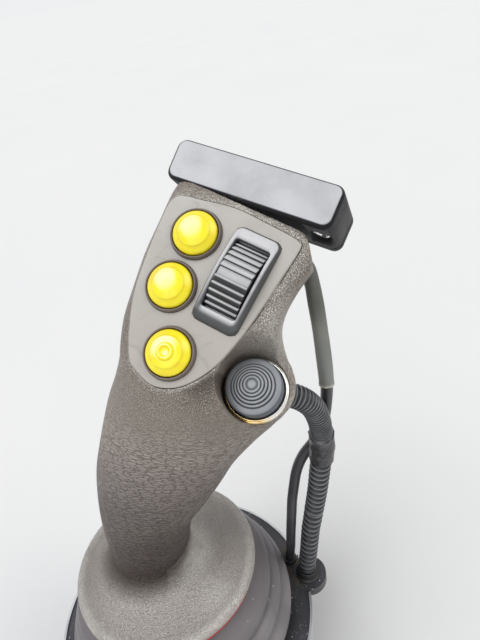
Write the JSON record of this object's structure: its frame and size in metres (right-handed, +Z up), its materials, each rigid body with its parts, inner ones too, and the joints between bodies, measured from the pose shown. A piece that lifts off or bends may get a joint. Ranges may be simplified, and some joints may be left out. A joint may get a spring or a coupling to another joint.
{
  "type": "joystick control lever",
  "caption": "Left-hand joystick control lever with grip, palm rest, bellows and gimbal base; thumb buttons, roller, side knob and a switch box on its head.",
  "frame": {"origin": "centre of the mounting plate's underside, on the panel face", "axes": "+Z up out of the panel, +Y forward away from the operator, +X to the right, towards the seat"},
  "size_m": [0.1674, 0.1364, 0.2997],
  "materials": {
    "plate_black": "satin",
    "bright_metal": "satin",
    "zinc_steel": "satin",
    "housing_plastic": "matte",
    "black_rubber": "matte",
    "bellows_rubber": "matte",
    "conduit_plastic": "satin",
    "lead_rubber": "satin",
    "sleeve_grey": "matte",
    "tape_black": "satin",
    "gimbal_metal": "satin",
    "grip_grain": "grained",
    "seal_red": "matte",
    "face_plastic": "matte",
    "collar_plastic": "satin",
    "button_yellow": "satin",
    "bezel_plastic": "satin",
    "roller_plastic": "satin",
    "knob_rubber": "satin",
    "box_plastic": "satin"
  },
  "bodies": {
    "base": {"mount_plate": "plate_black", "edge_trim": "bright_metal", "panel_studs": "zinc_steel", "gimbal_housing": "housing_plastic", "housing_cover": "housing_plastic", "cover_screws": "zinc_steel", "bellows_clamp": "plate_black", "conduit_gland": "black_rubber", "lead_grommet": "black_rubber", "bellows_lower": "bellows_rubber", "conduit_lower": "conduit_plastic", "lead_lower": "lead_rubber"},
    "cardan": {"cardan_ring": "gimbal_metal"},
    "lever": {"lever_shaft": "zinc_steel", "palm_rest": "grip_grain", "palm_seal": "seal_red", "bellows_upper": "bellows_rubber", "grip_body": "grip_grain", "face_plate": "face_plastic", "button_collar_1": "collar_plastic", "button_collar_2": "collar_plastic", "button_collar_3": "collar_plastic", "roller_bezel": "bezel_plastic", "knob_ring": "bright_metal", "switch_box": "box_plastic", "box_cover": "box_plastic", "box_screw": "bright_metal", "lead_sleeve": "sleeve_grey", "lead_upper": "lead_rubber", "lead_mid": "lead_rubber", "conduit_upper": "conduit_plastic", "conduit_mid": "conduit_plastic", "tape_wrap": "tape_black"},
    "button_1": {"button_cap_1": "button_yellow"},
    "button_2": {"button_cap_2": "button_yellow"},
    "button_3": {"button_cap_3": "button_yellow"},
    "roller": {"thumb_roller": "roller_plastic"},
    "knob": {"knob_cap": "knob_rubber"}
  },
  "joints": [
    {"name": "fore_aft", "type": "hinge", "parent": "base", "child": "cardan", "pos_m": [0, 0, -0.012], "axis": [1, 0, 0], "range_deg": [-18, 18], "stiffness_Nm_per_rad": 9, "deforming": ["bellows_lower", "conduit_lower", "lead_lower"]},
    {"name": "left_right", "type": "hinge", "parent": "cardan", "child": "lever", "pos_m": [0, 0, -0.012], "axis": [0, 1, 0], "range_deg": [-18, 18], "stiffness_Nm_per_rad": 9, "deforming": ["bellows_upper", "conduit_mid", "lead_mid"]},
    {"name": "button_1_press", "type": "slide", "parent": "lever", "child": "button_1", "axis": [0, 0.6972, -0.7169], "range_m": [0, 0.0015], "stiffness_N_per_m": 700, "springref_m": -0.001},
    {"name": "button_2_press", "type": "slide", "parent": "lever", "child": "button_2", "axis": [0, 0.6972, -0.7169], "range_m": [0, 0.0015], "stiffness_N_per_m": 700, "springref_m": -0.001},
    {"name": "button_3_press", "type": "slide", "parent": "lever", "child": "button_3", "axis": [0, 0.6972, -0.7169], "range_m": [0, 0.0015], "stiffness_N_per_m": 700, "springref_m": -0.001},
    {"name": "roller_turn", "type": "hinge", "parent": "lever", "child": "roller", "pos_m": [0.0593, 0.01549, 0.1977], "axis": [0.8607, -0.3649, -0.3549], "range_deg": [-25, 25], "stiffness_Nm_per_rad": 0.05},
    {"name": "knob_press", "type": "slide", "parent": "lever", "child": "knob", "axis": [0, 0.5693, -0.8221], "range_m": [0, 0.0015], "stiffness_N_per_m": 900, "springref_m": -0.001}
  ]
}
